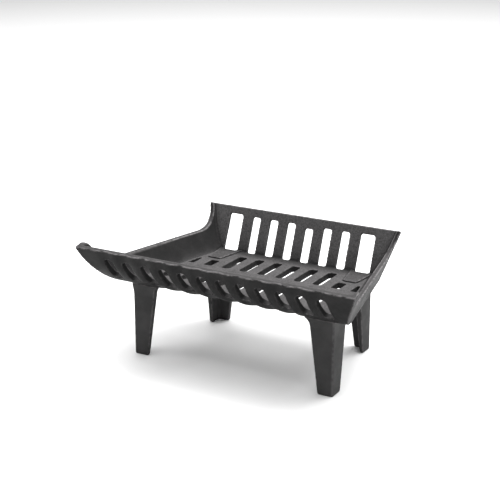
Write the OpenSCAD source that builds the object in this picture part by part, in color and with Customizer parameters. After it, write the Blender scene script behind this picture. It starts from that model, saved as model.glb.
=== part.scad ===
// Log grate: a cast basket with a slotted floor, a raked slotted back, flared side
// walls and an upswept slotted front lip, standing on four tapered angle legs.
// Millimetres. Origin on the ground, centred in X and Y. +Z up, the front faces -Y.

/* [Floor] */

// clear height from the ground to the underside of the floor
clearance = 102; // [80:1:130]

// thickness of the floor
floor_t = 9; // [8:0.5:12]

// depth of the flat floor, from the foot of the back panel to the start of the lip's curve
floor_d = 158.7; // [155:1:190]

/* [Back panel] */

// lean of the back panel away from vertical, in degrees
back_lean_angle = 21.2; // [12:0.5:28]

// height of the back panel measured along its lean, from the top of the floor
back_rise = 68.5; // [64:0.5:100]

// thickness of the back panel
back_t = 8; // [6:0.5:12]

/* [Side walls] */

// half width across the outsides of the walls, at the underside and the back panel's foot
wall_foot_x = 137.4; // [136:0.2:160]

// lean of the side walls outwards from vertical, in degrees
wall_lean_angle = 20.4; // [16:0.2:23]

// flare of the side walls in plan, wider at the front, in degrees
wall_flare_angle = 12.1; // [8:0.5:16]

// thickness of the side walls
wall_t = 6.5; // [5:0.5:9]

// extra thickness of the side walls at their foot, where they stand on the floor
wall_root_w = 4.5; // [1:0.5:6]

// height above the floor at which the side walls' thicker foot ends
wall_root_h = 9; // [5:0.5:20]

// height of the walls' level top edge above the top of the floor
wall_h = 30.9; // [25:0.5:36]

// radius of the sweep from the level top edge up to the back corner
rear_sweep_r = 45; // [25:1:50]

// how far the back corner posts stand in front of the back panel
post_proud = 3.5; // [1:0.5:6]

// radius of the rounded ear at the front end of each wall
ear_r = 12; // [10:0.5:20]

// how far the centre of the ear's curve lies behind the rim's inner edge
ear_set = 4.5; // [2:0.5:8]

// radius of the sweep from the level top edge up to the ear
front_sweep_r = 40; // [20:1:45]

/* [Front lip] */

// outer radius of the curved front lip
lip_r = 98; // [85:1:105]

// arc of the lip from its tangent to the floor up to the rim, in degrees
lip_angle = 71.6; // [68:0.5:76]

/* [Slots] */

// pitch of the slots across the grate
slot_pitch = 30; // [29:0.25:31]

// width of the floor slots
floor_slot_w = 13.5; // [10:0.5:16]

// distance from the back panel's foot to the rear row of floor slots
rear_row_set = 20.4; // [19:0.5:26]

// length of the rear row's full floor slots
rear_row_l = 59; // [54:1:62]

// length of the short floor slots in front of the pads
short_slot_l = 25.5; // [12:0.5:27]

// corner radius of the short floor slots
short_slot_r = 2.5; // [1:0.25:5]

// width at the back of the wedge-shaped floor slots beside the walls
wedge_back_w = 4.2; // [3:0.2:6]

// distance of the wedge-shaped slots' outer sides inside the foot lines of the walls
wedge_inset = 15.8; // [15.2:0.1:17.2]

// width of the solid bar between the two rows of floor slots
cross_bar_w = 16.5; // [12:0.5:22]

// length of the front row's floor slots
front_row_l = 55.5; // [40:0.5:58]

// width of the lip slots
lip_slot_w = 15; // [10:0.5:18]

// arc angle at the lower end of the lip slots, in degrees from straight down
lip_slot_low_angle = 36; // [32:0.5:42]

// arc angle at the upper end of the lip slots, in degrees from straight down
lip_slot_high_angle = 64.5; // [58:0.5:65]

// width of the narrow slots in the back panel
back_slot_w = 12.5; // [8:0.5:16]

// width of the two wide slots at the ends of the back panel
back_wide_w = 23.4; // [14:0.2:25]

// distance of the wide slots' centres from the centre line
back_wide_x = 110.4; // [108:0.2:112]

// solid margin between the top of the back slots and the top of the panel
back_top_bar = 12.2; // [8:0.2:18]

// rounding of the slot ends, as a share of half the slot's width
slot_round = 0.85; // [0.3:0.05:0.95]

// corner radius of the back panel's slots
back_slot_r = 3; // [1:0.25:3.75]

/* [Pads] */

// height of the two raised pads above the floor
pad_h = 2; // [1:0.5:5]

// depth of the pads from the foot of the back panel
pad_d = 46.5; // [42:0.5:50]

// distance of a pad's inner edge from the centre line, at its front
pad_in_front = 101.6; // [98:0.2:106]

// distance of a pad's inner edge from the centre line, at its back
pad_in_back = 92.5; // [90:0.5:98]

// distance of a pad's outer edge from the centre line, at its front
pad_out_front = 123; // [118:0.5:126]

// distance of a pad's outer edge from the centre line, at its back
pad_out_back = 128; // [122:0.5:129]

/* [Legs] */

// distance of the front legs' outer corners inside the foot lines of the side walls
front_leg_inset = 19.3; // [17.5:0.1:24]

// distance of the front legs' front faces in front of the lip's tangent line
front_leg_set = 34.8; // [32:0.2:37]

// distance of the rear legs' outer corners inside the foot lines of the side walls
rear_leg_inset = 8.9; // [8.3:0.1:11]

// distance of the rear legs' back faces in front of the back panel's foot
rear_leg_set = 8.1; // [6:0.1:8.6]

// width at the ground of the leg flange that runs across the grate
cross_foot_w = 23; // [18:0.5:28]

// width at the floor of the leg flange that runs across the grate
cross_top_w = 36.5; // [35:0.5:37]

// width at the ground of the leg flange that runs front to back
side_foot_w = 24.5; // [18:0.5:30]

// width at the floor of the leg flange that runs front to back
side_top_w = 39; // [35:0.5:42]

// thickness of the leg flanges at the ground
leg_t_foot = 5.5; // [4:0.25:8]

// thickness of the leg flanges at the floor
leg_t_top = 10.2; // [9:0.2:10.4]

// radius of each leg's outer corner
leg_corner_r = 3; // [1:0.5:5]

// radius of the flare at the top of each leg
leg_flare_r = 12; // [6:0.5:14]

/* [Fixings] */

// distance of each bolt from both outer faces of its leg
bolt_set = 18.5; // [18.2:0.1:20]

// radius of the round boss under the floor at each bolt
boss_r = 7.8; // [6.5:0.1:8]

// drop of the boss below the underside of the floor
boss_drop = 3; // [2:0.25:5]

// thickness of the lug inside each leg
lug_t = 8; // [6:0.5:10]

// margin of the lug beyond the bolt's centre
lug_r = 9; // [8:0.25:10]

// radius of the bolt's shank
bolt_r = 3.85; // [3:0.05:4.2]

// reach of the bolt's shank into the basket, above the boss's face
bolt_reach = 8; // [5:0.25:8.5]

// width across the flats of the hexagon bolt heads
head_af = 13; // [11:0.5:13]

// thickness of the bolt heads
head_h = 5.3; // [4:0.1:6.5]

// outer radius of the lock washers
washer_r = 7.4; // [6.8:0.1:8]

// thickness of the lock washers
washer_t = 2.1; // [1.2:0.1:3]

// width of the split in the lock washers
washer_split = 1.2; // [0.6:0.1:2]

/* [Hidden] */

$fn = 180;

// gap between a leg's top edge and the underside of the basket
leg_gap = 0.3;
// radial gap between a bolt and its bore in the basket
bore_gap = 0.3;
// radial gap between a bolt and the hole in the leg's lug
lug_gap = 0.65;
// radial gap between a bolt and its lock washer
washer_gap = 0.35;
// depth of the bore beyond the end of the bolt
bore_tail = 1.2;
// overlap that carries a pad into the floor it stands on
root = 2;
// overrun of a cutting solid past the metal it cuts
over = 5;
// overrun of the back slots' cuts in front of the panel, where the pads are to stay whole
skim = 0.5;
// depth that one curve bites into the edge of the next, where they only just meet
bite = 0.02;
// arc beyond the rim that is trimmed off square, in degrees
past_rim_angle = 40;
// size of a blank that is larger than the whole grate
big = 600;

floor_top = clearance + floor_t;
lip_z = clearance + lip_r;
lip_in_r = lip_r - floor_t;
wall_top = floor_top + wall_h;

rim_in_y = -floor_d - lip_in_r * sin(lip_angle);
rim_in_z = lip_z - lip_in_r * cos(lip_angle);
front_reach = floor_d + lip_r * sin(lip_angle);
back_reach = back_rise * sin(back_lean_angle) + back_t * cos(back_lean_angle);
// Y of the back panel's foot, which centres the grate on the origin
foot_y = (front_reach - back_reach) / 2;

ear_y = rim_in_y + ear_set;
ear_z = rim_in_z + bite - sqrt(ear_r * ear_r - ear_set * ear_set);
front_sweep_z = wall_top + front_sweep_r;
front_sweep_dz = front_sweep_z - ear_z;
front_sweep_y = ear_y
    + sqrt(pow(ear_r + front_sweep_r, 2) - front_sweep_dz * front_sweep_dz);

// lean of the inner faces of the walls' thicker feet, and their inset where the walls'
// outer faces meet the underside
wall_root_lean = atan(tan(wall_lean_angle) + wall_root_w / cos(wall_lean_angle) / wall_root_h);
wall_root_inset = cos(wall_root_lean) * ((wall_t + wall_root_w) / cos(wall_lean_angle)
    + floor_t * (tan(wall_root_lean) - tan(wall_lean_angle)));

// where the level top edge would meet the front of the back corner post
post_s = (wall_h - post_proud * sin(back_lean_angle)) / cos(back_lean_angle);
post_y = post_s * sin(back_lean_angle) - post_proud * cos(back_lean_angle);
rear_sweep_l = rear_sweep_r * tan((90 - back_lean_angle) / 2);
rear_sweep_y = post_y - rear_sweep_l;
rear_sweep_z = wall_top + rear_sweep_r;

front_leg_y = -floor_d - front_leg_set;
rear_leg_y = -rear_leg_set;
front_leg_x = wall_foot_x - front_leg_y * tan(wall_flare_angle) - front_leg_inset;
rear_leg_x = wall_foot_x - rear_leg_y * tan(wall_flare_angle) - rear_leg_inset;
// height of the lip's underside over the front legs' front faces
front_leg_top = lip_z - sqrt(lip_r * lip_r - front_leg_set * front_leg_set);
leg_draft = atan((leg_t_top - leg_t_foot) / clearance);

boss_z = clearance - boss_drop;
lug_z = boss_z - lug_t;
washer_z = lug_z - washer_t;
front_bolt = [front_leg_x - bolt_set, front_leg_y + bolt_set];
rear_bolt = [rear_leg_x - bolt_set, rear_leg_y - bolt_set];

front_row_set = rear_row_set + rear_row_l + cross_bar_w;

// which sub-part to draw

// ---- shared shapes ----

// turns a side outline, drawn as (Y, Z), into a solid that spans the width l
module across(l) {
    rotate([90, 0, 90])
        linear_extrude(l, center = true)
            children();
}

// a rectangle w wide and l long with rounded corners, its near end at the origin
module rounded_slot(w, l, r) {
    translate([-w / 2, r])
        square([w, l - 2 * r]);
    translate([-w / 2 + r, 0])
        square([w - 2 * r, l]);
    for (x = [-1, 1], y = [r, l - r])
        translate([x * (w / 2 - r), y])
            circle(r);
}

// a pie slice about the lip's centre from angle a to angle b, from straight down
module lip_slice(a, b) {
    reach = 2 * lip_r;
    polygon([[0, 0], [-reach * sin(a), -reach * cos(a)], [-reach * sin(b), -reach * cos(b)]]);
}

// a ring of the lip's thickness about the lip's centre, with a margin outside
module lip_ring() {
    difference() {
        circle(lip_r + over);
        circle(lip_in_r);
    }
}

// places its children in both halves of the grate
module both_sides() {
    children();
    mirror([1, 0, 0])
        children();
}

// ---- basket ----

// side outline of everything above the underside of the floor and lip, moved inwards by inset
module over_floor(inset) {
    translate([-floor_d, lip_z])
        intersection() {
            circle(lip_r - inset);
            translate([-big, -big / 2])
                square(big);
        }
    translate([-floor_d, clearance + inset])
        square(big);
}

// everything on the inner side of a face that follows the right wall's foot and leans
// outwards by lean, moved inwards by inset
module inside_wall(inset, lean) {
    translate([wall_foot_x, 0, clearance])
        rotate([0, lean, wall_flare_angle])
            translate([-big - inset, -big / 2, -big / 2])
                cube(big);
}

// everything between two such faces, one in each half of the grate
module between_walls(inset, lean) {
    intersection() {
        inside_wall(inset, lean);
        mirror([1, 0, 0])
            inside_wall(inset, lean);
    }
}

// side outline of a wall before its sweeps are cut: level band, back post and front ear
module wall_blank() {
    translate([0, floor_top])
        rotate(-back_lean_angle)
            translate([-post_proud, 0])
                square([post_proud + back_t + over, back_rise + over]);
    translate([ear_y, ear_z])
        circle(ear_r);
    polygon([
        [-floor_d - lip_r - over, clearance],
        [back_reach, clearance],
        [back_reach, wall_top],
        [post_y + rear_sweep_l * sin(back_lean_angle) + cos(back_lean_angle),
         wall_top + rear_sweep_l * cos(back_lean_angle) - sin(back_lean_angle)],
        [rear_sweep_y, rear_sweep_z],
        [rear_sweep_y, wall_top],
        [front_sweep_y, wall_top],
        [front_sweep_y, front_sweep_z],
        [ear_y, ear_z],
        [-floor_d - lip_r - over, ear_z]
    ]);
}

// the two round cuts that lead from the level top edge up to the post and the ear
module wall_sweeps() {
    translate([rear_sweep_y, rear_sweep_z])
        circle(rear_sweep_r + bite);
    translate([front_sweep_y, front_sweep_z])
        circle(front_sweep_r + bite);
}

// side outline of the walls, which also holds the outlines of the lip, floor and back
module wall_outline() {
    difference() {
        intersection() {
            union() {
                wall_blank();
                translate([-floor_d, lip_z])
                    intersection() {
                        lip_ring();
                        lip_slice(lip_angle / 2, lip_angle);
                    }
            }
            over_floor(0);
            translate([0, floor_top])
                rotate(-back_lean_angle)
                    translate([back_t - big, back_rise - big])
                        square(big);
        }
        wall_sweeps();
        translate([-floor_d, lip_z])
            intersection() {
                lip_ring();
                lip_slice(lip_angle, lip_angle + past_rim_angle);
            }
    }
}

// side outline of the space inside the basket
module cavity_outline() {
    intersection() {
        over_floor(floor_t);
        translate([0, floor_top])
            rotate(-back_lean_angle)
                translate([-big, -big / 2])
                    square(big);
    }
}

// one raised pad of the right half, above a rear leg's bolt
module pad() {
    translate([0, 0, floor_top - root])
        linear_extrude(root + pad_h)
            polygon([
                [pad_in_front, -pad_d],
                [pad_out_front, -pad_d],
                [pad_out_back, 0],
                [pad_in_back, 0]
            ]);
}

// one floor slot at x, from y1 back by length l, with corners of radius r
module floor_slot(x, y1, l, r) {
    translate([x, y1, clearance - over])
        linear_extrude(floor_t + 2 * over)
            rounded_slot(floor_slot_w, l, r);
}

// the slot beside the wall, from y1 back, whose outer side follows the wall's flare
module wedge_slot(y1) {
    y2 = y1 + short_slot_l;
    outer = wall_foot_x - wedge_inset;
    inner = outer - y2 * tan(wall_flare_angle) - wedge_back_w;
    translate([0, 0, clearance - over])
        linear_extrude(floor_t + 2 * over)
            polygon([
                [inner, y1],
                [outer - y1 * tan(wall_flare_angle), y1],
                [inner + wedge_back_w, y2],
                [inner, y2]
            ]);
}

// the floor slots of the right half
module floor_slots() {
    rear_y = -rear_row_set - rear_row_l;
    end_r = slot_round * floor_slot_w / 2;
    for (i = [0 : 2])
        floor_slot((i + 0.5) * slot_pitch, rear_y, rear_row_l, end_r);
    floor_slot(3.5 * slot_pitch, rear_y, short_slot_l, short_slot_r);
    wedge_slot(rear_y);
    for (i = [0 : 4])
        floor_slot((i + 0.5) * slot_pitch, -front_row_set - front_row_l, front_row_l, end_r);
}

// the lip slots of the right half
module lip_slots() {
    middle = (lip_slot_low_angle + lip_slot_high_angle) / 2;
    half = (lip_slot_high_angle - lip_slot_low_angle) / 2;
    chord = 2 * lip_r * sin(half);
    for (i = [0 : 5])
        translate([(i + 0.5) * slot_pitch, -floor_d, lip_z])
            rotate([180 - middle, 0, 0])
                translate([0, -chord / 2, lip_in_r * cos(half) - over])
                    linear_extrude(lip_r + over)
                        rounded_slot(lip_slot_w, chord, slot_round * lip_slot_w / 2);
}

// one slot through the back panel, w wide, centred at x
module back_slot(x, w) {
    translate([x, 0, floor_top])
        rotate([-back_lean_angle, 0, 0])
            translate([0, back_t + over, 0])
                rotate([90, 0, 0])
                    linear_extrude(back_t + over + skim)
                        rounded_slot(w, back_rise - back_top_bar, back_slot_r);
}

// the back panel's slots of the right half
module back_slots() {
    for (i = [0 : 2])
        back_slot((i + 0.5) * slot_pitch, back_slot_w);
    back_slot(back_wide_x, back_wide_w);
}

// one boss under the floor at the position p
module boss(p) {
    translate([p[0], p[1], boss_z])
        cylinder(r = boss_r, h = boss_drop + floor_t / 2);
}

// one blind bore at the position p
module bolt_bore(p) {
    translate([p[0], p[1], boss_z - over])
        cylinder(r = bolt_r + bore_gap, h = over + bolt_reach + bore_tail);
}

module basket() {
    color([0.22, 0.22, 0.23])
        translate([0, foot_y, 0])
            difference() {
                union() {
                    difference() {
                        intersection() {
                            across(big)
                                wall_outline();
                            between_walls(0, wall_lean_angle);
                        }
                        intersection() {
                            across(big)
                                cavity_outline();
                            between_walls(wall_t, wall_lean_angle);
                            between_walls(wall_root_inset, wall_root_lean);
                        }
                    }
                    both_sides() {
                        pad();
                        boss(front_bolt);
                        boss(rear_bolt);
                    }
                }
                both_sides() {
                    floor_slots();
                    lip_slots();
                    back_slots();
                    bolt_bore(front_bolt);
                    bolt_bore(rear_bolt);
                }
            }
}

// ---- legs ----

// outline of one leg flange: width across, height up, flared where it meets the underside
// at the height top
module flange_outline(foot_w, top_w, top) {
    taper = atan((top_w - foot_w) / clearance);
    edge = foot_w + top * tan(taper);
    run = leg_flare_r * tan((90 - taper) / 2);
    tall = clearance + 3 * over;
    difference() {
        polygon([
            [0, 0],
            [foot_w, 0],
            [edge - run * sin(taper), top - run * cos(taper)],
            [edge + run, top - leg_flare_r],
            [edge + run, tall],
            [0, tall]
        ]);
        translate([edge + run, top - leg_flare_r])
            circle(leg_flare_r);
    }
}

// everything inside the angle of a leg, where the flanges thin towards the ground
module leg_inside() {
    intersection() {
        translate([leg_t_foot, 0, 0])
            rotate([0, leg_draft, 0])
                translate([0, -big / 2, -big / 2])
                    cube(big);
        translate([0, leg_t_foot, 0])
            rotate([-leg_draft, 0, 0])
                translate([-big / 2, 0, -big / 2])
                    cube(big);
    }
}

// plan of the leg's blank with its rounded outer corner at the origin
module leg_plan() {
    difference() {
        square(big);
        square(leg_corner_r);
    }
    translate([leg_corner_r, leg_corner_r])
        circle(leg_corner_r);
}

// plan of the lug that the bolt passes through
module lug_plan() {
    start = leg_t_foot;
    translate([start, start])
        square([bolt_set - start, bolt_set + lug_r - start]);
    translate([start, start])
        square([bolt_set + lug_r - start, bolt_set - start]);
    translate([bolt_set, bolt_set])
        circle(lug_r);
}

// a leg with its outer corner at the origin; cross_top is the height of the underside
// over the flange that runs across the grate
module leg_blank(cross_top) {
    difference() {
        union() {
            intersection() {
                difference() {
                    linear_extrude(clearance + 2 * over)
                        leg_plan();
                    leg_inside();
                }
                rotate([90, 0, 0])
                    linear_extrude(big, center = true)
                        flange_outline(cross_foot_w, cross_top_w, cross_top);
                across(big)
                    flange_outline(side_foot_w, side_top_w, clearance);
            }
            translate([0, 0, lug_z])
                linear_extrude(lug_t)
                    lug_plan();
        }
        translate([bolt_set, bolt_set, lug_z - over])
            cylinder(r = bolt_r + lug_gap, h = lug_t + 2 * over);
    }
}

// everything above the underside of the floor and lip, less a small gap
module underside_cut() {
    across(big)
        over_floor(-leg_gap);
}

// the front leg of the left half
module front_leg() {
    color([0.2, 0.2, 0.21])
        translate([0, foot_y, 0])
            difference() {
                translate([-front_leg_x, front_leg_y, 0])
                    leg_blank(front_leg_top);
                underside_cut();
            }
}

// the rear leg of the left half
module rear_leg() {
    color([0.2, 0.2, 0.21])
        translate([0, foot_y, 0])
            difference() {
                translate([-rear_leg_x, rear_leg_y, 0])
                    mirror([0, 1, 0])
                        leg_blank(clearance);
                underside_cut();
            }
}

module front_left_leg() {
    front_leg();
}

module front_right_leg() {
    mirror([1, 0, 0])
        front_leg();
}

module rear_left_leg() {
    rear_leg();
}

module rear_right_leg() {
    mirror([1, 0, 0])
        rear_leg();
}

// ---- fixings ----

// places its children under all four bolt positions, at the height z
module at_bolts(z) {
    translate([0, foot_y, z])
        both_sides() {
            translate([front_bolt[0], front_bolt[1], 0])
                children();
            translate([rear_bolt[0], rear_bolt[1], 0])
                children();
        }
}

module leg_bolts() {
    color([0.3, 0.3, 0.31])
        at_bolts(washer_z) {
            translate([0, 0, -head_h])
                linear_extrude(head_h)
                    circle(r = head_af / 2 / cos(30), $fn = 6);
            cylinder(r = bolt_r, h = boss_z + bolt_reach - washer_z);
        }
}

module lock_washers() {
    color([0.35, 0.35, 0.36])
        at_bolts(washer_z)
            linear_extrude(washer_t)
                difference() {
                    circle(washer_r);
                    circle(bolt_r + washer_gap);
                    translate([0, -washer_split / 2])
                        square([2 * washer_r, washer_split]);
                }
}

basket();
front_left_leg();
front_right_leg();
rear_left_leg();
rear_right_leg();
leg_bolts();
lock_washers();
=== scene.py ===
"""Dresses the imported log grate: cast skins over the basket and legs, bolts, washers,
iron and steel finishes, a pale studio and the photograph's camera.

Lengths in the shapes are in millimetres, with u = y measured from the back panel's foot.
"""
import bpy
import numpy as np
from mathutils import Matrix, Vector


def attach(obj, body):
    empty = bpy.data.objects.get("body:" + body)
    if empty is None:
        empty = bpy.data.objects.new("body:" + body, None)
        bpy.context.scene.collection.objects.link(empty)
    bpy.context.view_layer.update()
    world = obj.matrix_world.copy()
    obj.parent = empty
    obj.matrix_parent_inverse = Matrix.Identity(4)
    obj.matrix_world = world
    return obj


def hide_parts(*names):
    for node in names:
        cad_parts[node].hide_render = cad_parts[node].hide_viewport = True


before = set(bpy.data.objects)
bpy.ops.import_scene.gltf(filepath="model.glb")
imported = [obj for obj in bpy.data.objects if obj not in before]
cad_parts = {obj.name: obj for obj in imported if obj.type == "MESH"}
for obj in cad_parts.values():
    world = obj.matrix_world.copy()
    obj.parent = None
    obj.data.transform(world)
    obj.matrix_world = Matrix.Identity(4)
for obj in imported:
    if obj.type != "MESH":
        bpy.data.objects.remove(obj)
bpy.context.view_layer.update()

MM = 0.001

# ---- sizes of the grate, as in the solids ----

# floor: clear height under it, thickness, depth of its flat part
CLEARANCE = 102.0
FLOOR_T = 9.0
FLOOR_D = 158.7
FLOOR_TOP = CLEARANCE + FLOOR_T

# back panel
BACK_LEAN = np.radians(21.2)
BACK_RISE = 68.5
BACK_T = 8.0

# side walls, their thicker foot, the sweeps of their top edge, and their ears
WALL_FOOT_X = 137.4
WALL_LEAN = np.radians(20.4)
WALL_FLARE = np.radians(12.1)
WALL_T = 6.5
WALL_ROOT_W, WALL_ROOT_H = 4.5, 9.0
WALL_TOP = FLOOR_TOP + 30.9
REAR_SWEEP_R = 45.0
POST_PROUD = 3.5
EAR_R = 12.0
EAR_SET = 4.5
FRONT_SWEEP_R = 40.0

# lip
LIP_R = 98.0
LIP_IN_R = LIP_R - FLOOR_T
LIP_Z = CLEARANCE + LIP_R
LIP_ARC = np.radians(71.6)

# slots: floor, lip and back panel
PITCH = 30.0
FLOOR_SLOT_W = 13.5
REAR_ROW_SET = 20.4
REAR_ROW_L = 59.0
SHORT_SLOT_L = 25.5
SHORT_SLOT_R = 2.5
WEDGE_BACK_W = 4.2
WEDGE_INSET = 15.8
CROSS_BAR_W = 16.5
FRONT_ROW_L = 55.5
LIP_SLOT_W = 15.0
LIP_SLOT_LOW = np.radians(36.0)
LIP_SLOT_HIGH = np.radians(64.5)
BACK_SLOT_W = 12.5
BACK_WIDE_W = 23.4
BACK_WIDE_X = 110.4
BACK_SLOT_L = BACK_RISE - 12.2
SLOT_ROUND = 0.85
BACK_SLOT_R = 3.0

# pads: height, depth, and distances from the middle at their front and back
PAD_H = 2.0
PAD_D = 46.5
PAD_INNER = (101.6, 92.5)
PAD_OUTER = (123.0, 128.0)

# legs: places of their corners, widths and thicknesses at the ground and at the top
FRONT_LEG_INSET = 19.3
FRONT_LEG_SET = 34.8
REAR_LEG_INSET = 8.9
REAR_LEG_SET = 8.1
CROSS_FOOT_W, CROSS_TOP_W = 23.0, 36.5
SIDE_FOOT_W, SIDE_TOP_W = 24.5, 39.0
LEG_T_FOOT, LEG_T_TOP = 5.5, 10.2
LEG_CORNER_R = 3.0
LEG_FLARE_R = 12.0

# bolts, bosses, lugs and washers
BOLT_SET = 18.5
BOSS_R = 7.8
BOSS_DROP = 3.0
LUG_T = 8.0
LUG_R = 9.0
BOLT_R = 3.85
BOLT_REACH = 8.0
HEAD_AF = 13.0
HEAD_H = 5.3
WASHER_R = 7.4
WASHER_T = 2.1
WASHER_SPLIT = 1.2
BORE_GAP = 0.3
BORE_TAIL = 1.2
LUG_GAP = 0.65
WASHER_GAP = 0.35

# places that follow from the sizes
ROOT_LEAN = np.arctan(np.tan(WALL_LEAN) + WALL_ROOT_W / np.cos(WALL_LEAN) / WALL_ROOT_H)
ROOT_INSET = np.cos(ROOT_LEAN) * ((WALL_T + WALL_ROOT_W) / np.cos(WALL_LEAN)
                                  + FLOOR_T * (np.tan(ROOT_LEAN) - np.tan(WALL_LEAN)))
FRONT_REACH = FLOOR_D + LIP_R * np.sin(LIP_ARC)
BACK_REACH = BACK_RISE * np.sin(BACK_LEAN) + BACK_T * np.cos(BACK_LEAN)
FOOT_Y = (FRONT_REACH - BACK_REACH) / 2

BOSS_Z = CLEARANCE - BOSS_DROP
LUG_Z = BOSS_Z - LUG_T
WASHER_Z = LUG_Z - WASHER_T
FRONT_LEG_U = -FLOOR_D - FRONT_LEG_SET
REAR_LEG_U = -REAR_LEG_SET
FRONT_LEG_X = WALL_FOOT_X - FRONT_LEG_U * np.tan(WALL_FLARE) - FRONT_LEG_INSET
REAR_LEG_X = WALL_FOOT_X - REAR_LEG_U * np.tan(WALL_FLARE) - REAR_LEG_INSET
BOLTS = [(FRONT_LEG_X - BOLT_SET, FRONT_LEG_U + BOLT_SET),
         (REAR_LEG_X - BOLT_SET, REAR_LEG_U - BOLT_SET)]

# ---- how the castings are softened ----

# rounds: outer edges, the inner edges of the rim and of the wall tops, and where and over
# what length the one turns into the other, slots, pads, bosses, and what the posts' tops
# add to theirs, over their width
ARRIS_R = 0.9
RIM_R, WALL_RIM_R = 3.2, 1.5
RIM_END_U, RIM_RUN = -150.0, 100.0
SLOT_EDGE_R = 1.0
FLOOR_EDGE_R = 0.6
PAD_EDGE_R, PAD_SIDE_R, PAD_CORNER_R = 0.5, 1.0, 3.0
BOSS_EDGE_R = 0.6
POST_ROUND, POST_W = 1.8, 5.0

# fillets inside the basket, and between the walls and their thicker foot
WALL_FILLET = 2.5
WALL_BEND_R = 14.0
BACK_FILLET = 1.2
PAD_FILLET = 0.3
BOSS_FILLET = 1.5

# flutes in the lip's outside, which start further forward at its ends
FLUTE_DEPTH = 1.8
FLUTE_RUN = 30.0
END_FLUTE_X, END_FLUTE_SET, END_FLUTE_W = 104.0, 45.0, 10.0

# drafts of the slots, a share of the depth, and how much narrower the cast slots are
FLOOR_DRAFT = 0.16
FLOOR_TIGHT = 0.6
BACK_DRAFT = 0.3
WEDGE_R = 1.5

# where the slots' cuts begin: from the lip's axis, and in front of the back panel
LIP_CUT_FROM = 60.0
BACK_CUT_FROM, WIDE_CUT_FROM = 1.0, 2.5

# faults of the casting: slots that are short, shifted, narrow or wide at the foot
SHORT_BY = 4.5
BACK_SHIFT = 0.7
BACK_HIGH_BY = 1.2
WIDE_FOOT = 0.4
WIDE_TIGHT = 1.6
LIP_HIGH_BY = 3.5
LIP_LOW_BY = 3.0

# soot and painted shade: how far the painted shade fades around the slots, rises on the
# walls, lies in the corners and reaches over the floor, with its shares in the last three
# places and on the sooty pads, and what the upper faces in the lip's slots lack of it, a
# painted light
SLOT_SHADE_FADE = 1.5
SHADE_UP_WALLS, WALL_SHADE = 34.0, 0.7
SHADE_IN_CORNERS, CORNER_SHADE = 4.0, 0.8
SOOT_AND_SHADE_OVER_FLOOR, FLOOR_SOOT_AND_SHADE = 26.0, 0.85
PAD_SOOT = 0.3
LIP_SLOT_TOP_LIGHT = 0.35

# legs: lap with the basket's underside, swell below it, the height it starts at under the
# floor and the height it grows over, fillet in the angle, rounds, and the grids' reach
LEG_LAP = 0.25
LEG_SWELL = 1.6
LEG_SWELL_H = 16.0
LEG_SWELL_RUN = 22.0
LEG_FILLET = 5.0
LEG_EDGE_R = 1.6
FLANGE_EDGE_R = 1.4
FOOT_R = 3.0
LUG_FILLET, LUG_EDGE_R = 2.0, 0.8
LEG_TOP_R = 0.3
LEG_SPAN = 53.0

# grids of the skins: their steps, the space around the metal, and the basket's half width
# and top, with that space
BASKET_STEP = 1.8
LEG_STEP = 1.3
SPACE = 3.0
BASKET_HALF_W, BASKET_TOP = 218.0, 178.0

# spans over which a field's slope is taken to find the surface, its normals and its bend
FIND_SPAN, NORMAL_SPAN, BEND_SPAN = 0.05, 0.3, 1.6


# ---- solid fields: negative inside the metal, in millimetres ----

def both(a, b, r):
    """The metal inside both fields, where their shared edge is a round of radius r:
    far from the edge the larger field, and near it the distance to the round's axis."""
    near = np.hypot(np.maximum(r + a, 0), np.maximum(r + b, 0))
    return np.minimum(-r, np.maximum(a, b)) + near


def either(a, b, r):
    """The metal inside one field or the other, with a fillet of radius r between them."""
    return -both(-a, -b, r)


def open_corner(p, q, faces, runs, r):
    """Metal around an open corner that a round of radius r fills. p and q are measured
    from the round's centre, faces are the unit normals into the metal and runs are the
    directions along the faces, away from the corner. Past the centre the distance is
    round, and elsewhere it is that of the nearer face."""
    flat = np.maximum(p * faces[0][0] + q * faces[0][1], p * faces[1][0] + q * faces[1][1])
    past = (p * runs[0][0] + q * runs[0][1] < 0) & (p * runs[1][0] + q * runs[1][1] < 0)
    return r - np.where(past, np.hypot(p, q), flat)


def slot(p, q, w, l, r):
    """A slot w wide and l long about p = q = 0 with corners of radius r, negative in
    the hole: the distance to a rectangle shrunk by r, less r."""
    a = np.abs(p) - w / 2 + r
    b = np.abs(q) - l / 2 + r
    return np.hypot(np.maximum(a, 0), np.maximum(b, 0)) + np.minimum(np.maximum(a, b), 0) - r


def ease(t):
    """Runs smoothly from 0 at t = 0 to 1 at t = 1: t squared times three less 2 t."""
    t = np.clip(t, 0, 1)
    return t * t * (3 - 2 * t)


def in_row(side, count):
    """Distance from the middle of the nearest of count slots in one half of the grate."""
    return side - (np.clip(np.floor(side / PITCH), 0, count - 1) + 0.5) * PITCH


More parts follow.
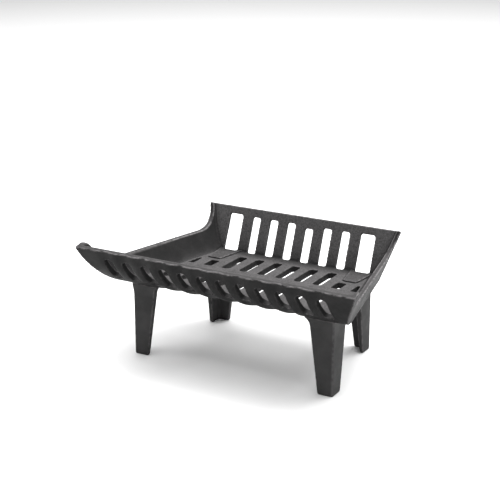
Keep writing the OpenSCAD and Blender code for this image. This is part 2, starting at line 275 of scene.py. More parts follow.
def wall_skyline(u, z):
    """Side outline of the walls from above: a level edge, a round sweep up to the back
    post, and in front a round sweep up to a round ear that ends at the lip's rim."""
    lean, height = np.array([np.cos(BACK_LEAN), np.sin(BACK_LEAN)]), z - LIP_Z
    post_s = (WALL_TOP - FLOOR_TOP - POST_PROUD * lean[1]) / lean[0]
    post_u = post_s * lean[1] - POST_PROUD * lean[0]
    rear_u = post_u - REAR_SWEEP_R * np.tan((np.pi / 2 - BACK_LEAN) / 2)
    rear = open_corner(u - rear_u, z - WALL_TOP - REAR_SWEEP_R,
                       [(0, -1), (lean[0], -lean[1])], [(-1, 0), (lean[1], lean[0])],
                       REAR_SWEEP_R)
    rim_u = -FLOOR_D - LIP_IN_R * np.sin(LIP_ARC)
    rim_z = LIP_Z - LIP_IN_R * np.cos(LIP_ARC)
    ear_u = rim_u + EAR_SET
    ear_z = rim_z - np.sqrt(EAR_R ** 2 - EAR_SET ** 2)
    turn_z = WALL_TOP + FRONT_SWEEP_R
    turn_u = ear_u + np.sqrt((EAR_R + FRONT_SWEEP_R) ** 2 - (turn_z - ear_z) ** 2)
    ear = np.hypot(u - ear_u, z - ear_z) - EAR_R
    turn = FRONT_SWEEP_R - np.hypot(u - turn_u, z - turn_z)
    under_turn = (u < turn_u) & (
        (z - ear_z) * (turn_u - ear_u) < (u - ear_u) * (turn_z - ear_z))
    front = np.where(under_turn, turn, np.minimum(z - WALL_TOP, ear))
    radius = np.hypot(u + FLOOR_D, height)
    past_rim = -(u + FLOOR_D) * np.cos(LIP_ARC) + height * np.sin(LIP_ARC)
    front = np.maximum(front, np.minimum(past_rim, radius - LIP_IN_R))
    band = np.where(u < -FLOOR_D, np.maximum(LIP_IN_R - radius, past_rim), front)
    return np.where(u < -FLOOR_D / 2, np.minimum(front, band), rear)


def wall_face(side, u, z, lean=WALL_LEAN):
    """Distance outwards from a face that follows the nearer wall's foot and leans out."""
    out = (side - WALL_FOOT_X) * np.cos(WALL_FLARE) + u * np.sin(WALL_FLARE)
    return out * np.cos(lean) - (z - CLEARANCE) * np.sin(lean)


def wall_root(side, u, z):
    """Distance outwards from the inner face of the walls' thicker foot."""
    return wall_face(side, u, z, ROOT_LEAN) + ROOT_INSET


def on_panel(u, z):
    """Distances behind the back panel's front face, and up along it from its foot."""
    behind = u * np.cos(BACK_LEAN) - (z - FLOOR_TOP) * np.sin(BACK_LEAN)
    along = u * np.sin(BACK_LEAN) + (z - FLOOR_TOP) * np.cos(BACK_LEAN)
    return behind, along


def floor_slots(side, u, z):
    """Fields of the floor's slots, negative in the holes, which narrow downwards by their
    draft: the rear row, its short slots and its wedges, and the front row."""
    rear_u = -REAR_ROW_SET - REAR_ROW_L
    round_r = SLOT_ROUND * FLOOR_SLOT_W / 2
    short_mid = rear_u + SHORT_SLOT_L / 2
    edge = WALL_FOOT_X - WEDGE_INSET
    wedge_in = edge - (rear_u + SHORT_SLOT_L) * np.tan(WALL_FLARE) - WEDGE_BACK_W
    wedge_out = (side - edge) * np.cos(WALL_FLARE) + u * np.sin(WALL_FLARE)
    wedge = both(both(wedge_in - side, wedge_out, WEDGE_R),
                 np.abs(u - short_mid) - SHORT_SLOT_L / 2, WEDGE_R)
    front_u = rear_u - CROSS_BAR_W
    draft = FLOOR_DRAFT * (z - FLOOR_TOP + FLOOR_T / 2) - FLOOR_TIGHT
    return [
        slot(in_row(side, 3), u - rear_u - REAR_ROW_L / 2,
             FLOOR_SLOT_W, REAR_ROW_L, round_r) - draft,
        slot(side - 3.5 * PITCH, u - short_mid,
             FLOOR_SLOT_W, SHORT_SLOT_L, SHORT_SLOT_R) - draft,
        wedge - draft,
        slot(in_row(side, 5), u - front_u + FRONT_ROW_L / 2,
             FLOOR_SLOT_W, FRONT_ROW_L, round_r) - draft,
    ]


def lip_slots(x, u, z):
    """Field of the slots through the lip, which lie along the chord of its arc and go
    through the lip alone. Three in the middle end one step higher at the bottom, and the
    next three to the right two steps."""
    mid = (LIP_SLOT_LOW + LIP_SLOT_HIGH) / 2
    chord = 2 * LIP_R * np.sin((LIP_SLOT_HIGH - LIP_SLOT_LOW) / 2)
    arc = -(u + FLOOR_D) * np.cos(mid) + (z - LIP_Z) * np.sin(mid)
    deep = -(u + FLOOR_D) * np.sin(mid) - (z - LIP_Z) * np.cos(mid)
    steps = (x > -2 * PITCH) * 1 + (x > PITCH) * 1 - 2 * (x > 4 * PITCH)
    raised = LIP_LOW_BY * steps
    hole = slot(in_row(np.abs(x), 6), arc + (LIP_HIGH_BY - raised) / 2, LIP_SLOT_W,
                chord - LIP_HIGH_BY - raised, SLOT_ROUND * LIP_SLOT_W / 2)
    return np.maximum(hole, LIP_CUT_FROM - deep)


def back_slots(x, u, z):
    """Fields of the back panel's six slots and its two wide ones, which open backwards.
    One of the six is shorter."""
    behind, along = on_panel(u, z)
    short = BACK_HIGH_BY + SHORT_BY * ((x > 0) & (x < PITCH))
    opens = BACK_DRAFT * np.clip(behind, 0, BACK_T)
    foot = WIDE_FOOT * ease(1 - along / BACK_SLOT_L)
    moved = np.abs(x + BACK_SHIFT)
    row = slot(in_row(moved, 3), along - (BACK_SLOT_L - short) / 2, BACK_SLOT_W,
               BACK_SLOT_L - short, BACK_SLOT_R) - opens
    wide = slot(moved - BACK_WIDE_X - foot, along - BACK_SLOT_L / 2,
                BACK_WIDE_W - WIDE_TIGHT + 2 * foot, BACK_SLOT_L, BACK_SLOT_R) - opens
    return [np.maximum(row, -BACK_CUT_FROM - behind),
            np.maximum(wide, -WIDE_CUT_FROM - behind)]


def shell(side, u, z):
    """The basket without slots: an outer envelope of underside, lip, walls and back, less
    the space inside it. The lip's outside is fluted in line with its slots by a cosine
    of x."""
    radius = np.hypot(u + FLOOR_D, z - LIP_Z)
    lip = u < -FLOOR_D
    behind, along = on_panel(u, z)
    wall = wall_face(side, u, z)

    begin = FLOOR_D + END_FLUTE_SET * ease((side - END_FLUTE_X) / END_FLUTE_W)
    flute = FLUTE_DEPTH * ease((-begin - u) / FLUTE_RUN) * (side < 6 * PITCH)
    flute = flute * (0.5 - 0.5 * np.cos(2 * np.pi * side / PITCH))
    under = np.where(lip, radius - LIP_R + flute, CLEARANCE - z)
    space = np.where(lip, radius - LIP_IN_R, FLOOR_TOP - z)
    faces = both(wall + WALL_T, wall_root(side, u, z), WALL_BEND_R)
    space = both(space, faces, WALL_FILLET)
    space = both(space, behind, BACK_FILLET)

    metal = both(under, wall, ARRIS_R)
    metal = both(metal, behind - BACK_T, ARRIS_R)
    post = ease((wall + POST_W) / POST_W)
    metal = both(metal, along - BACK_RISE, ARRIS_R + POST_ROUND * post)
    metal = both(metal, wall_skyline(u, z), ARRIS_R)
    past_rim = ease((u - RIM_END_U) / RIM_RUN)
    return both(metal, -space, RIM_R - (RIM_R - WALL_RIM_R) * past_rim)


def pad_metal(side, u, z):
    """The raised pad in a rear corner: a quadrilateral with straight sides that runs into
    the back panel and the floor."""
    inner = (PAD_INNER[1] - PAD_INNER[0]) / PAD_D
    outer = (PAD_OUTER[1] - PAD_OUTER[0]) / PAD_D
    pad_in = (PAD_INNER[1] + inner * u - side) / np.hypot(1, inner)
    pad_out = (side - PAD_OUTER[1] - outer * u) / np.hypot(1, outer)
    pad = both(both(pad_in, pad_out, PAD_SIDE_R), -PAD_D - u, PAD_CORNER_R)
    height = np.abs(z - FLOOR_TOP + 1) - PAD_H - 1
    return both(np.maximum(pad, u - 2), height, PAD_EDGE_R)


def basket_metal(x, u, z):
    """The basket: the shell with pads and bosses joined to it by fillets, the bosses'
    bores, and every slot cut through with rounded edges."""
    side = np.abs(x)
    metal = either(shell(side, u, z), pad_metal(side, u, z), PAD_FILLET)
    for bx, bu in BOLTS:
        shaft = np.hypot(side - bx, u - bu)
        boss = both(shaft - BOSS_R, np.abs(z - CLEARANCE) - BOSS_DROP, BOSS_EDGE_R)
        metal = either(metal, boss, BOSS_FILLET)
        bore = np.maximum(shaft - BOLT_R - BORE_GAP, z - BOSS_Z - BOLT_REACH - BORE_TAIL)
        metal = np.maximum(metal, -bore)

    for hole in floor_slots(side, u, z):
        metal = both(metal, -hole, FLOOR_EDGE_R)
    for hole in (lip_slots(x, u, z), *back_slots(x, u, z)):
        metal = both(metal, -hole, SLOT_EDGE_R)
    return metal


def soot_and_shade(points, normals):
    """How sooty and shaded the casting is, painted into its colour: painted shade of 1 on
    the walls of the slots, falling to 0 just outside the hole; less painted shade at the
    foot of the inner walls and the back panel, darker towards the bottom, and along the
    corners they make with the floor; at the back of the floor both sooty and in painted
    shade; and sooty on the pads. In the lip's slots the faces that look up are less so, by
    painted light."""
    x, u, z = points.T
    side, up = np.abs(x), normals[:, 2]
    holes = [*floor_slots(side, u, z), *back_slots(x, u, z)]
    # painted shade in the slots, with painted light taking some of it off the upper faces in
    # the lip's slots
    in_lip = 1 - ease(lip_slots(x, u, z) / SLOT_SHADE_FADE)
    in_lip = in_lip * (1 - LIP_SLOT_TOP_LIGHT * ease(up / 0.6))
    in_slots = np.maximum(1 - ease(np.min(holes, axis=0) / SLOT_SHADE_FADE), in_lip)
    # painted shade on the inner walls and the back panel, darker towards their foot
    inside = (1 - ease(up / 0.8 - 0.2)) * (wall_face(side, u, z) < -3)
    low = ease(1 - (z - FLOOR_TOP) / SHADE_UP_WALLS) * (z > FLOOR_TOP) * (u > -FLOOR_D)
    bed = np.abs(z - FLOOR_TOP) < PAD_H + 1
    # painted shade in the corners with the floor, sooty painted shade at the back of the
    # floor, and sooty pads
    nearest = np.maximum(wall_root(side, u, z), on_panel(u, z)[0])
    corner = ease(1 + nearest / SHADE_IN_CORNERS) * bed
    rear = FLOOR_SOOT_AND_SHADE * ease(1 + u / SOOT_AND_SHADE_OVER_FLOOR) * bed
    pads = PAD_SOOT * (z > FLOOR_TOP + 1) * bed
    return np.max([in_slots, WALL_SHADE * inside * low, CORNER_SHADE * corner, rear, pads],
                  axis=0)


def painted_panel_light(points):
    """Painted light, 1 on the front of the back panel."""
    _x, u, z = points.T
    return ease((on_panel(u, z)[0] + 3) / 2) * ease((z - FLOOR_TOP) / 8)


def coarse_skin_and_painted_light(points):
    """Where the casting's skin is rough-cast, its colour lighter by painted light: 1 on the
    floor, on the back panel and on the outsides of the walls, and 0 on the lip and on the
    insides of the walls."""
    x, u, z = points.T
    wall = wall_face(np.abs(x), u, z)
    bed = ease((-wall - WALL_T - 4) / 5) * ease((u + FLOOR_D + 20) / 25)
    return np.maximum(ease((wall + 2) / 1.5), bed)


def flange(w, z, foot_w, top_w, top):
    """Outline of one leg flange: an edge that tapers straight to the ground, and a round
    flare that meets the underside at the height top and ends there."""
    taper = np.arctan((top_w - foot_w) / CLEARANCE)
    edge = foot_w + top * np.tan(taper)
    run = LEG_FLARE_R * np.tan((np.pi / 2 - taper) / 2)
    flare = open_corner(w - edge - run, z - top + LEG_FLARE_R,
                        [(0, 1), (-np.cos(taper), np.sin(taper))],
                        [(1, 0), (-np.sin(taper), -np.cos(taper))], LEG_FLARE_R)
    return np.maximum(flare, w - edge - run)


def leg_metal(corner_x, corner_u, back, cross_top):
    """Field of the right-hand leg whose outer corner is at (corner_x, corner_u): an angle
    of two tapered, drafted flanges, with a lug for its bolt, cut to the underside. back is
    1 where the side flange runs to the back and -1 where it runs to the front."""
    draft = np.arctan((LEG_T_TOP - LEG_T_FOOT) / CLEARANCE)

    def metal(x, u, z):
        across, along = corner_x - x, back * (u - corner_u)
        swell = LEG_SWELL * ease((z - CLEARANCE + LEG_SWELL_H) / LEG_SWELL_RUN) ** 2
        skin = both(-across - swell, -along - swell, LEG_CORNER_R)
        hollow = both((LEG_T_FOOT - across) * np.cos(draft) + z * np.sin(draft),
                      (LEG_T_FOOT - along) * np.cos(draft) + z * np.sin(draft),
                      LEG_FILLET)
        leg = both(skin, -hollow, LEG_EDGE_R)
        cross_side = flange(across, z, CROSS_FOOT_W, CROSS_TOP_W, cross_top)
        back_side = flange(along, z, SIDE_FOOT_W, SIDE_TOP_W, CLEARANCE)
        outline = np.maximum(both(cross_side, -z, FOOT_R), both(back_side, -z, FOOT_R))
        leg = both(leg, outline, FLANGE_EDGE_R)
        reach = BOLT_SET + LUG_R
        lug = both(across - reach, along - reach, LUG_R)
        lug = np.maximum(lug, LEG_T_FOOT - np.minimum(across, along))
        lug = both(lug, np.abs(z - LUG_Z - LUG_T / 2) - LUG_T / 2, LUG_EDGE_R)
        leg = either(leg, lug, LUG_FILLET)
        radius = np.hypot(u + FLOOR_D, z - LIP_Z)
        under = np.where(u < -FLOOR_D, LIP_R - LEG_LAP - radius, z - CLEARANCE - LEG_LAP)
        leg = both(leg, under, LEG_TOP_R)
        hole = np.hypot(across - BOLT_SET, along - BOLT_SET) - BOLT_R - LUG_GAP
        return np.maximum(leg, -hole)

    return metal


# ---- skins ----

def skin(metal, low, high, step):
    """The zero surface of a field: one point in each grid cell that the surface crosses,
    at the mean of its edge crossings, then moved along the field's slope onto the surface.
    Each grid edge that the surface crosses gives a face of the four cells around it.
    Returns points, outward faces, unit normals and the roundness of the surface."""
    axes = [np.arange(a, b + step, step) for a, b in zip(low, high)]
    value = metal(*np.meshgrid(*axes, indexing="ij", sparse=True))
    inside = value < 0
    cells = tuple(n - 1 for n in value.shape)
    total = np.zeros(cells + (3,))
    count = np.zeros(cells)
    for axis in range(3):
        lo = [slice(None)] * 3
        hi = [slice(None)] * 3
        lo[axis], hi[axis] = slice(0, -1), slice(1, None)
        a, b = value[tuple(lo)], value[tuple(hi)]
        crossed = inside[tuple(lo)] != inside[tuple(hi)]
        part = np.where(crossed, a / np.where(crossed, a - b, 1), 0)
        others = [k for k in range(3) if k != axis]
        for i in (0, 1):
            for j in (0, 1):
                cut = [slice(None)] * 3
                cut[others[0]] = slice(i, i + cells[others[0]])
                cut[others[1]] = slice(j, j + cells[others[1]])
                cut = tuple(cut)
                total[..., axis] += part[cut]
                total[..., others[0]] += crossed[cut] * i
                total[..., others[1]] += crossed[cut] * j
                count += crossed[cut]
    used = count > 0
    number = np.full(cells, -1)
    number[used] = np.arange(used.sum())
    spot = np.stack(np.nonzero(used), 1) + total[used] / count[used][:, None]
    points = np.array(low) + spot * step

    faces = []
    for axis in range(3):
        lo = [slice(1, -1)] * 3
        hi = [slice(1, -1)] * 3
        lo[axis], hi[axis] = slice(0, -1), slice(1, None)
        first, last = inside[tuple(lo)], inside[tuple(hi)]
        spots = np.stack(np.nonzero(first != last), 1)
        b_axis, c_axis = (axis + 1) % 3, (axis + 2) % 3
        spots[:, b_axis] += 1
        spots[:, c_axis] += 1
        ring = []
        for i, j in ((1, 1), (0, 1), (0, 0), (1, 0)):
            cell = spots.copy()
            cell[:, b_axis] -= i
            cell[:, c_axis] -= j
            ring.append(number[tuple(cell.T)])
        quads = np.stack(ring, 1)
        outward = first[first != last]
        faces.append(np.where(outward[:, None], quads, quads[:, ::-1]))
    faces = np.concatenate(faces)

    def slope(at, h):
        shifts = np.eye(3) * h
        ends = [[metal(*(at + s * d).T) for s in (1, -1)] for d in shifts]
        grade = np.stack([(up - down) / (2 * h) for up, down in ends], 1)
        return grade, sum(up + down for up, down in ends)

    for _ in range(3):
        grade, _ring = slope(points, FIND_SPAN)
        size = np.maximum((grade ** 2).sum(1), 0.25)
        push = metal(*points.T) / size
        points -= grade * np.clip(push, -step / 2, step / 2)[:, None]
    grade, _ring = slope(points, NORMAL_SPAN)
    normals = grade / np.linalg.norm(grade, axis=1)[:, None]
    _grade, ring = slope(points, BEND_SPAN)
    bend = (ring - 6 * metal(*points.T)) / BEND_SPAN ** 2
    return points, faces, normals, bend


def to_frame(points):
    """Millimetres from the back panel's foot line to metres in the row's frame."""
    return (points + np.array([0, FOOT_Y, 0])) * MM


def add_piece(name, points, faces, normals=None, marks=None):
    """Puts arrays of points and faces into a mesh object with smooth shading. Each of the
    marks is an attribute on the points that the finishes read."""
    mesh = bpy.data.meshes.new(name)
    faces = np.asarray(faces)
    mesh.vertices.add(len(points))
    mesh.vertices.foreach_set("co", np.ascontiguousarray(points, np.float32).ravel())
    mesh.loops.add(faces.size)
    mesh.loops.foreach_set("vertex_index", np.ascontiguousarray(faces, np.int32).ravel())
    mesh.polygons.add(len(faces))
    starts = np.arange(0, faces.size, faces.shape[1], dtype=np.int32)
    mesh.polygons.foreach_set("loop_start", starts)
    mesh.update(calc_edges=True)
    mesh.validate()
    mesh.polygons.foreach_set("use_smooth", np.ones(len(mesh.polygons), bool))
    for mark, values in (marks or {}).items():
        layer = mesh.attributes.new(mark, "FLOAT", "POINT")
        layer.data.foreach_set("value", values.astype(np.float32))
    if normals is not None:
        mesh.normals_split_custom_set_from_vertices(normals.tolist())
    mesh.update()
    piece = bpy.data.objects.new(name, mesh)
    bpy.context.scene.collection.objects.link(piece)
    return piece


def mirrored(points, faces, normals, bend):
    """The same skin on the other side of the middle plane, its faces turned to suit."""
    flip = np.array([-1, 1, 1])
    return points * flip, faces[:, ::-1], normals * flip, bend


def basket_skin():
    """The whole basket in one skin, on a grid that is the same in both halves."""
    half = np.ceil(BASKET_HALF_W / BASKET_STEP) * BASKET_STEP
    return skin(basket_metal, (-half, -FRONT_REACH - SPACE, BOSS_Z - SPACE),
                (half, BACK_REACH + SPACE, BASKET_TOP), BASKET_STEP)


def leg_skin(corner_x, corner_u, back, cross_top):
    """One right-hand leg."""
    metal = leg_metal(corner_x, corner_u, back, cross_top)
    span = sorted((corner_u - SPACE * back, corner_u + LEG_SPAN * back))
    return skin(metal, (corner_x - LEG_SPAN, span[0], -SPACE),
                (corner_x + SPACE, span[1], cross_top + SPACE), LEG_STEP)


def turned(radii, heights, count):
    """Rings about the z axis: ring k has the radii radii[k] at the heights heights[k],
    both functions of the angle. Strips of faces close the first and the last ring."""
    angle = np.arange(count) * 2 * np.pi / count
    x = radii * np.cos(angle)
    y = radii * np.sin(angle)
    z = np.broadcast_to(heights, x.shape)
    rings = np.stack([x, y, z], 2).reshape(-1, 3)
    levels = len(x)
    k, i = np.meshgrid(np.arange(levels - 1), np.arange(count), indexing="ij")
    j = (i + 1) % count
    quads = np.stack([k * count + i, k * count + j, (k + 1) * count + j,
                      (k + 1) * count + i], 2).reshape(-1, 4)
    i = np.arange(count // 2 - 1)
    cap = np.stack([i, i + 1, count - 2 - i, count - 1 - i], 1)
    return rings, np.concatenate([cap[:, ::-1], quads, cap + (levels - 1) * count])


def bolt_shape():
    """A hexagon bolt, head down. Each ring's radius is the hexagon's, a / cos of the angle
    from the nearest flat's middle, or a circle's; the head's lower edge is cut back by a
    30 degree cone, so its corners stand higher."""
    count = 96
    angle = np.arange(count) * 2 * np.pi / count
    flat = HEAD_AF / 2
    turn = (angle + np.pi / 6) % (np.pi / 3) - np.pi / 6
    hexagon = flat / np.cos(turn)
    one = np.ones(count)
    cone = (hexagon - flat * 0.93) * np.tan(np.radians(30))
    length = HEAD_H + BOSS_Z + BOLT_REACH - WASHER_Z
    rows = [
        # the dish in the head's face, the face and its cone
        (one, one * 0.25), (one * flat * 0.55, one * 0.25), (one * flat * 0.62, one * 0),
        (one * flat * 0.88, one * 0), (one * flat * 0.93, one * 0.05),
        # the hexagon, and the round collar on top of it
        (hexagon * 0.992, cone), (hexagon, cone + 0.25),
        (hexagon, one * (HEAD_H - 0.7)), (hexagon * 0.995, one * (HEAD_H - 0.45)),
        (one * flat * 0.97, one * (HEAD_H - 0.35)), (one * flat * 0.95, one * HEAD_H),
        # the shank and its bevelled end
        (one * BOLT_R, one * HEAD_H), (one * BOLT_R, one * (length - 0.8)),
        (one * (BOLT_R - 0.7), one * length), (one, one * length),
    ]
    radii = np.stack([r for r, _ in rows])
    heights = np.stack([h for _, h in rows])
    points, quads = turned(radii, heights, count)
    points[:, 2] += WASHER_Z - HEAD_H
    return points, quads


def washer_shape():
    """A split ring: a rectangle carried round an arc that stops short of a full turn, its
    two ends closed. Two points at each corner of the rectangle make its bevel, and their
    spread puts them on its sides."""
    steps = 96
    gap = WASHER_SPLIT / 2 / WASHER_R
    angle = np.linspace(gap, 2 * np.pi - gap, steps)
    inner = BOLT_R + WASHER_GAP
    half_w, half_t = (WASHER_R - inner) / 2, WASHER_T / 2
    corner = np.radians(np.arange(8) * 45 + 22.5)
    bevel, spread = 0.25, 1.08
    w = np.sign(np.cos(corner)) * (half_w - bevel) + bevel * np.cos(corner) * spread
    t = np.sign(np.sin(corner)) * (half_t - bevel) + bevel * np.sin(corner) * spread
    w, t = np.clip(w, -half_w, half_w), np.clip(t, -half_t, half_t)
    radius = (inner + half_w) + w[None, :] + 0 * angle[:, None]
    points = np.stack([radius * np.cos(angle)[:, None], radius * np.sin(angle)[:, None],
                       np.broadcast_to(WASHER_Z + half_t + t, radius.shape)], 2)
    k, i = np.meshgrid(np.arange(steps - 1), np.arange(8), indexing="ij")
    j = (i + 1) % 8
    quads = np.stack([k * 8 + i, (k + 1) * 8 + i, (k + 1) * 8 + j, k * 8 + j], 2)
    caps = []
    for base, order in ((0, 1), ((steps - 1) * 8, -1)):
        ring = (base + np.arange(8))[::order]
        caps += [ring[[0, 1, 2, 3]], ring[[0, 3, 4, 7]], ring[[4, 5, 6, 7]]]
    return points.reshape(-1, 3), np.concatenate([quads.reshape(-1, 4), caps])


def at_every_bolt(points, quads):
    """Copies of one fixing at all four bolts, in one mesh."""
    places = [(s * x, u, 0) for x, u in BOLTS for s in (-1, 1)]
    stack = np.concatenate([points + np.array(p) for p in places])
    index = np.concatenate([quads + k * len(points) for k in range(len(places))])
    return stack, index


# ---- finishes ----

# features a metre in the cast skin and in the steel
CLOUDS, EDGE_PATCHES, PITS, SAND, GRIT = 34, 140, 300, 430, 1700
STEEL_CLOUDS, STEEL_GRAIN = 180, 2600


class Val:
    """A socket in a material, so that sums on it read as plain arithmetic."""

    def __init__(self, kit, socket):
        self.kit, self.socket = kit, socket

    def _math(self, op, a, b):
        return self.kit.node("ShaderNodeMath", {"operation": op}, {0: a, 1: b})[0]

    def __add__(self, other):
        return self._math("ADD", self, other)

    def __radd__(self, other):
        return self._math("ADD", other, self)

    def __sub__(self, other):
        return self._math("SUBTRACT", self, other)

    def __rsub__(self, other):
        return self._math("SUBTRACT", other, self)

    def __mul__(self, other):
        return self._math("MULTIPLY", self, other)

    def __rmul__(self, other):
        return self._math("MULTIPLY", other, self)

    def ease(self, low, high):
        """Runs smoothly from 0 to 1 as the value goes from low to high."""
        return self.kit.node("ShaderNodeMapRange",
                             {"interpolation_type": "SMOOTHSTEP", "clamp": True},
                             {0: self, 1: low, 2: high, 3: 0.0, 4: 1.0})[0]


class Finish:
    """One material and the nodes that make it."""

    def __init__(self, name):
        self.material = bpy.data.materials.new(name)
        self.material.use_nodes = True
        self.tree = self.material.node_tree
        self.tree.nodes.clear()
        self.skin = self.tree.nodes.new("ShaderNodeBsdfPrincipled")
        output = self.tree.nodes.new("ShaderNodeOutputMaterial")
        self.tree.links.new(self.skin.outputs[0], output.inputs[0])
        self.place = self.node("ShaderNodeTexCoord", {}, {})[3]

    def put(self, socket, value):
        if isinstance(value, Val):
            self.tree.links.new(value.socket, socket)
        else:
            socket.default_value = value

    def node(self, kind, settings, values):
        """Adds a node, sets it, fills its sockets and returns its outputs."""
        made = self.tree.nodes.new(kind)
        for key, value in settings.items():
            setattr(made, key, value)
        for key, value in values.items():
            self.put(made.inputs[key], value)
        return [Val(self, out) for out in made.outputs]

    def grain(self, scale, detail, rough=0.5):
        """Noise from 0 to 1 with scale features a metre."""
        return self.node("ShaderNodeTexNoise", {},
                         {"Vector": self.place, "Scale": scale, "Detail": detail,
                          "Roughness": rough})[0]

    def mark(self, name):
        """An attribute of the piece's points."""
        return self.node("ShaderNodeAttribute", {"attribute_name": name}, {})[2]

    def blend(self, share, a, b):
        """Colour a where share is 0 and b where it is 1."""
        made = self.tree.nodes.new("ShaderNodeMix")
        made.data_type = "RGBA"
        for key, value in ((0, share), (6, a), (7, b)):
            self.put(made.inputs[key], value)
        return Val(self, made.outputs[2])

    def bump(self, height, distance, strength, under=None):
        values = {"Height": height, "Distance": distance, "Strength": strength}
        if under is not None:
            values["Normal"] = under
        return self.node("ShaderNodeBump", {}, values)[0]

    def wear(self, **values):
        for key, value in values.items():
            self.put(self.skin.inputs[key.replace("_", " ")], value)
        return self.material


def grey(level, rose=0.0):
    """A grey of one level, with a share of red added and half of it taken from green."""
    return (level * (1 + rose), level * (1 - rose / 2), level, 1.0)


def cast_iron(name, dark, light, edge):
    """As-cast iron under matt black: sand grain, shallow pits and soft cloudy patches, a
    bright rub on the edges, where the surface bends outwards, that is wear with a painted
    highlight, painted shade where it bends inwards, painted light on the faces that look up
    and on the front of the back panel, painted shade on the faces that look down, and sooty,
    painted shade in the slots, the corners and at the back of the floor. Where the skin is
    rough-cast the grain is stronger, and lighter by painted light."""
    finish = Finish(name)
    cloud = finish.grain(CLOUDS, 4, 0.6)
    sand = finish.grain(SAND, 5, 0.7)
    grit = finish.grain(GRIT, 3, 0.6)
    cell = finish.node("ShaderNodeTexVoronoi", {}, {"Vector": finish.place, "Scale": PITS,
                                                    "Randomness": 1.0})[0]
    up, bend, coarse_and_painted_light = finish.mark("up"), finish.mark("bend"), finish.mark("coarse_and_painted_light")
    pits = (1 - cell.ease(0.02, 0.3)) * (0.3 + 0.7 * coarse_and_painted_light)
    # bright edges where the surface bends outwards: wear, and a painted highlight
    edge_wear_and_highlight = bend.ease(0.1, 0.6) * finish.grain(EDGE_PATCHES, 3).ease(0.3, 0.6)
    # painted shade where the surface bends inwards, in creases and fillets
    crease_shade = bend.ease(-0.06, -0.4)
    # painted light on the faces that look up, mottled by the sand grain
    painted_top_light = up.ease(0.35, 0.95) * (0.55 + 0.45 * sand.ease(0.35, 0.65))
    # painted shade on the faces that look down, added to the sooty, painted shade of the
    # slots and corners
    shade = up.ease(-0.1, -0.6) * 0.6 + finish.mark("soot_and_shade") * 0.8
    mottle = 0.15 + 0.55 * coarse_and_painted_light
    tone = cloud.ease(0.3, 0.7) * (1 - mottle) + sand.ease(0.36, 0.64) * mottle
    smooth = finish.blend(tone, grey(dark), grey(light, 0.02))
    # the rough-cast skin's colour: stronger grain, and painted light that makes it lighter
    rough_skin_painted_light = finish.blend(tone, grey(dark * 1.2), grey(light * 3.4, 0.02))
    colour = finish.blend(coarse_and_painted_light, smooth, rough_skin_painted_light)
    # painted light on the front of the back panel, mottled by the sand grain
    colour = finish.blend(finish.mark("painted_panel_light") * (0.3 + 0.4 * sand.ease(0.35, 0.65)),
                          colour, grey(light * 4.5, 0.02))
    colour = finish.blend(painted_top_light * 0.4, colour, grey(light * 4.0, 0.04))
    colour = finish.blend(pits * 0.4, colour, grey(dark * 0.4))
    # painted highlight with wear on the edges, then painted shade below, in the slots and
    # corners, and in creases
    colour = finish.blend(edge_wear_and_highlight * 0.7, colour, grey(edge, 0.03))
    colour = finish.blend(shade, colour, grey(dark * 0.4))
    colour = finish.blend(crease_shade * 0.7, colour, grey(dark * 0.4))
    rough = 0.62 - 0.1 * cloud.ease(0.35, 0.7) + 0.12 * sand - 0.1 * edge_wear_and_highlight
    relief = sand * 0.6 + grit * 0.25 - pits * 0.35
    rise = finish.bump(cloud, 0.0012, 0.35)
    return finish.wear(Base_Color=colour, Roughness=rough, Specular_IOR_Level=0.14,
                       Normal=finish.bump(relief, 0.0001 + 0.0006 * coarse_and_painted_light, 0.8, rise))


def steel(name, dark, light, rough):
    """Rolled or turned steel: a fine grain and a slightly uneven tone."""
    finish = Finish(name)
    cloud = finish.grain(STEEL_CLOUDS, 3)
    fine = finish.grain(STEEL_GRAIN, 3)
    colour = finish.blend(cloud.ease(0.3, 0.7), grey(dark), grey(light, 0.01))
    return finish.wear(Base_Color=colour, Metallic=0.9,
                       Roughness=rough + 0.12 * fine,
                       Normal=finish.bump(fine, 0.00006, 0.4))


def paint(piece, material):
    piece.data.materials.clear()
    piece.data.materials.append(material)


# ---- the grate ----

# the last number is the grey of the bright edges, their wear and painted highlight
basket_iron = cast_iron("as_cast_basket", 0.011, 0.022, 0.18)
leg_iron = cast_iron("as_cast_leg", 0.034, 0.046, 0.12)
bolt_steel = steel("blackened_bolt", 0.10, 0.16, 0.42)
washer_steel = steel("spring_washer", 0.28, 0.38, 0.38)

points, faces, normals, bend = basket_skin()
# the marks paint into the colour the sooty painted shade, painted light on the back panel,
# and painted light on the rough-cast skin
basket = add_piece("basket_casting", to_frame(points), faces, normals,
                   {"bend": bend, "up": normals[:, 2], "soot_and_shade": soot_and_shade(points, normals),
                    "coarse_and_painted_light": coarse_skin_and_painted_light(points), "painted_panel_light": painted_panel_light(points)})
paint(basket, basket_iron)
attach(basket, "root")
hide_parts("basket")

front_top = LIP_Z - np.sqrt(LIP_R ** 2 - FRONT_LEG_SET ** 2)
for row, corner_x, corner_u, back, cross_top in (
        ("front", FRONT_LEG_X, FRONT_LEG_U, 1, front_top),
        ("rear", REAR_LEG_X, REAR_LEG_U, -1, CLEARANCE)):
    right = leg_skin(corner_x, corner_u, back, cross_top)
    for hand, made in (("right", right), ("left", mirrored(*right))):
        points, faces, normals, bend = made
        leg = add_piece(f"{row}_{hand}_leg_casting", to_frame(points), faces, normals,
                        {"bend": bend, "up": normals[:, 2]})
        paint(leg, leg_iron)
        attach(leg, "root")
        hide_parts(f"{row}_{hand}_leg")

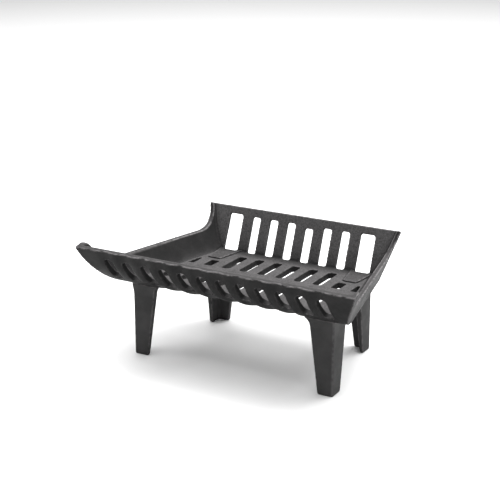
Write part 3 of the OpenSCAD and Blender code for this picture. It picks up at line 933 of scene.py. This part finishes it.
for name, node, shape, material, slot_name in (
        ("hexagon_bolts", "leg_bolts", bolt_shape(), bolt_steel, "bolt_steel"),
        ("split_washers", "lock_washers", washer_shape(), washer_steel, "washer_steel")):
    points, faces = at_every_bolt(*shape)
    fixing = add_piece(name, to_frame(points), faces)
    paint(fixing, material)
    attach(fixing, "root")
    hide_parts(node)

# ---- studio ----

def studio_light(name, place, aim, width, height, power):
    """A soft rectangular light at place, turned to face aim."""
    data = bpy.data.lights.new(name, "AREA")
    data.shape, data.size, data.size_y, data.energy = "RECTANGLE", width, height, power
    light = bpy.data.objects.new(name, data)
    light.location = place
    turn = (Vector(aim) - Vector(place)).to_track_quat("-Z", "Y")
    light.rotation_euler = turn.to_euler()
    bpy.context.scene.collection.objects.link(light)


studio_light("ceiling_light", (0.0, 0.7, 3.0), (0, 0.7, 0), width=5.0, height=5.0, power=330)
studio_light("key_light", (0.3, 0.7, 1.5), (0, 0, 0.1), width=0.7, height=0.7, power=14)

floor_mesh = bpy.data.meshes.new("studio_floor")
reach = 6.0
floor_mesh.from_pydata([(-reach, -reach, 0), (reach, -reach, 0), (reach, reach, 0),
                        (-reach, reach, 0)], [], [(0, 1, 2, 3)])
floor = bpy.data.objects.new("studio_floor", floor_mesh)
bpy.context.scene.collection.objects.link(floor)
pale = Finish("studio_pale")
paint(floor, pale.wear(Base_Color=(0.8, 0.8, 0.8, 1), Roughness=0.9))

world = bpy.data.worlds.new("studio_air")
bpy.context.scene.world = world
world.use_nodes = True
air = world.node_tree.nodes["Background"]
air.inputs[0].default_value = (1, 1, 1, 1)
air.inputs[1].default_value = 0.25

bpy.context.scene.view_settings.view_transform = "Standard"

# ---- camera ----

CAMERA_PLACE = Vector((0.8373, -1.6122 + FOOT_Y * MM, 0.7131))
CAMERA_AIM = Vector((-0.0768, FOOT_Y * MM, 0.1163))
camera_data = bpy.data.cameras.new("photo_camera")
camera_data.sensor_width = 36
camera_data.lens = 92.0
camera_data.dof.use_dof = False
camera = bpy.data.objects.new("photo_camera", camera_data)
camera.location = CAMERA_PLACE
camera.rotation_euler = (CAMERA_AIM - CAMERA_PLACE).to_track_quat("-Z", "Y").to_euler()
bpy.context.scene.collection.objects.link(camera)
bpy.context.scene.camera = camera
